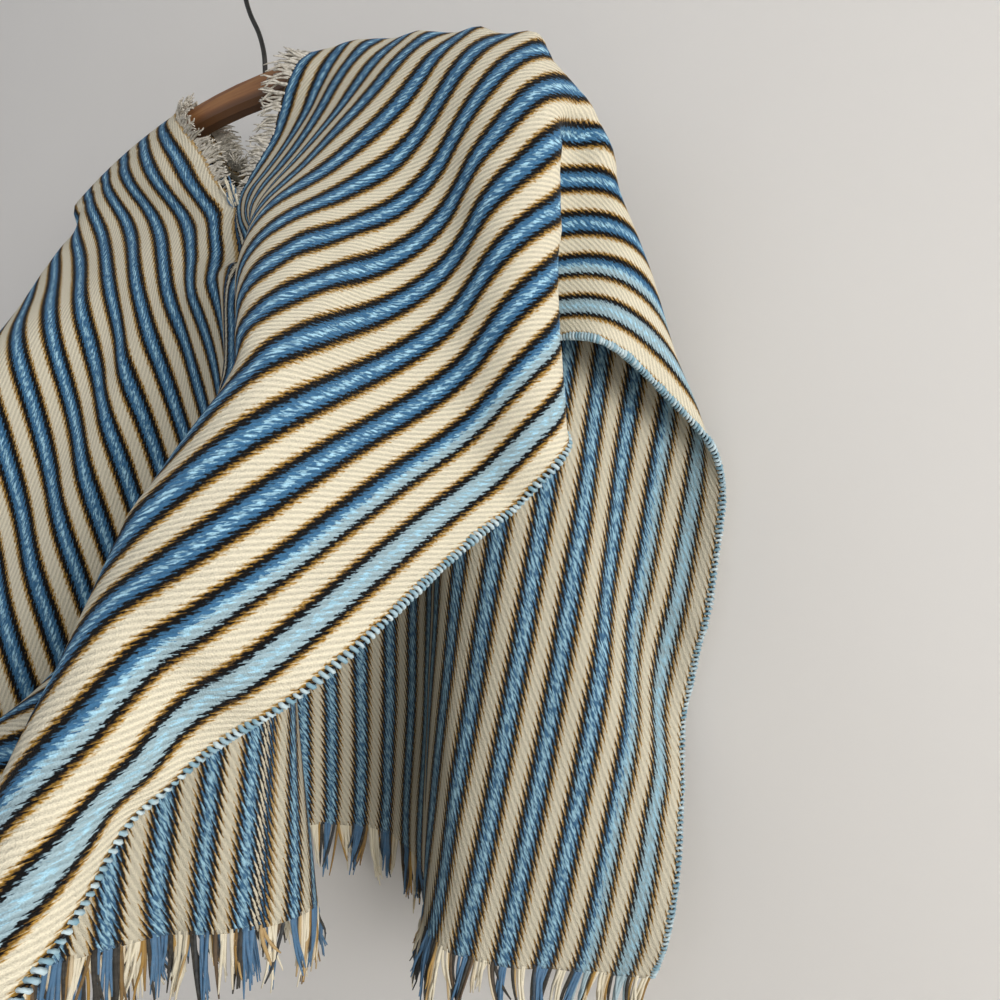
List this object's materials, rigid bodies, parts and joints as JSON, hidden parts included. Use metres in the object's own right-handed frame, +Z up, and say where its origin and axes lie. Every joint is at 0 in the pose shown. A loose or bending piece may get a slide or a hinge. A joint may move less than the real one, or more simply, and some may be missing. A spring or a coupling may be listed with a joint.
{
  "type": "wool poncho on a wooden hanger",
  "caption": "Handwoven striped wool poncho with a slit for the head and fringed hems, hanging open over a curved wooden coat hanger with a wire hook.",
  "frame": {"origin": "inside top of the hook's crook, where a nail or rail carries the hanger", "axes": "+Z up, X along the hanger's bar, -Y the poncho's front, +Y the wall behind its back"},
  "size_m": [0.6309, 0.4769, 0.7541],
  "materials": {
    "woven_wool": "matt",
    "hem_yarn_front": "matt",
    "hem_yarn_back": "matt",
    "neck_yarn_right": "matt",
    "neck_yarn_left": "matt",
    "hanger_wood": "satin varnish",
    "hook_wire": "dark, satin"
  },
  "bodies": {
    "root": {"woven_panel": "woven_wool", "fringe_front_hem": "hem_yarn_front", "fringe_back_hem": "hem_yarn_back", "fringe_neck_right": "neck_yarn_right", "fringe_neck_left": "neck_yarn_left", "hanger_bar": "hanger_wood", "hanger_hook": "hook_wire"}
  },
  "joints": []
}
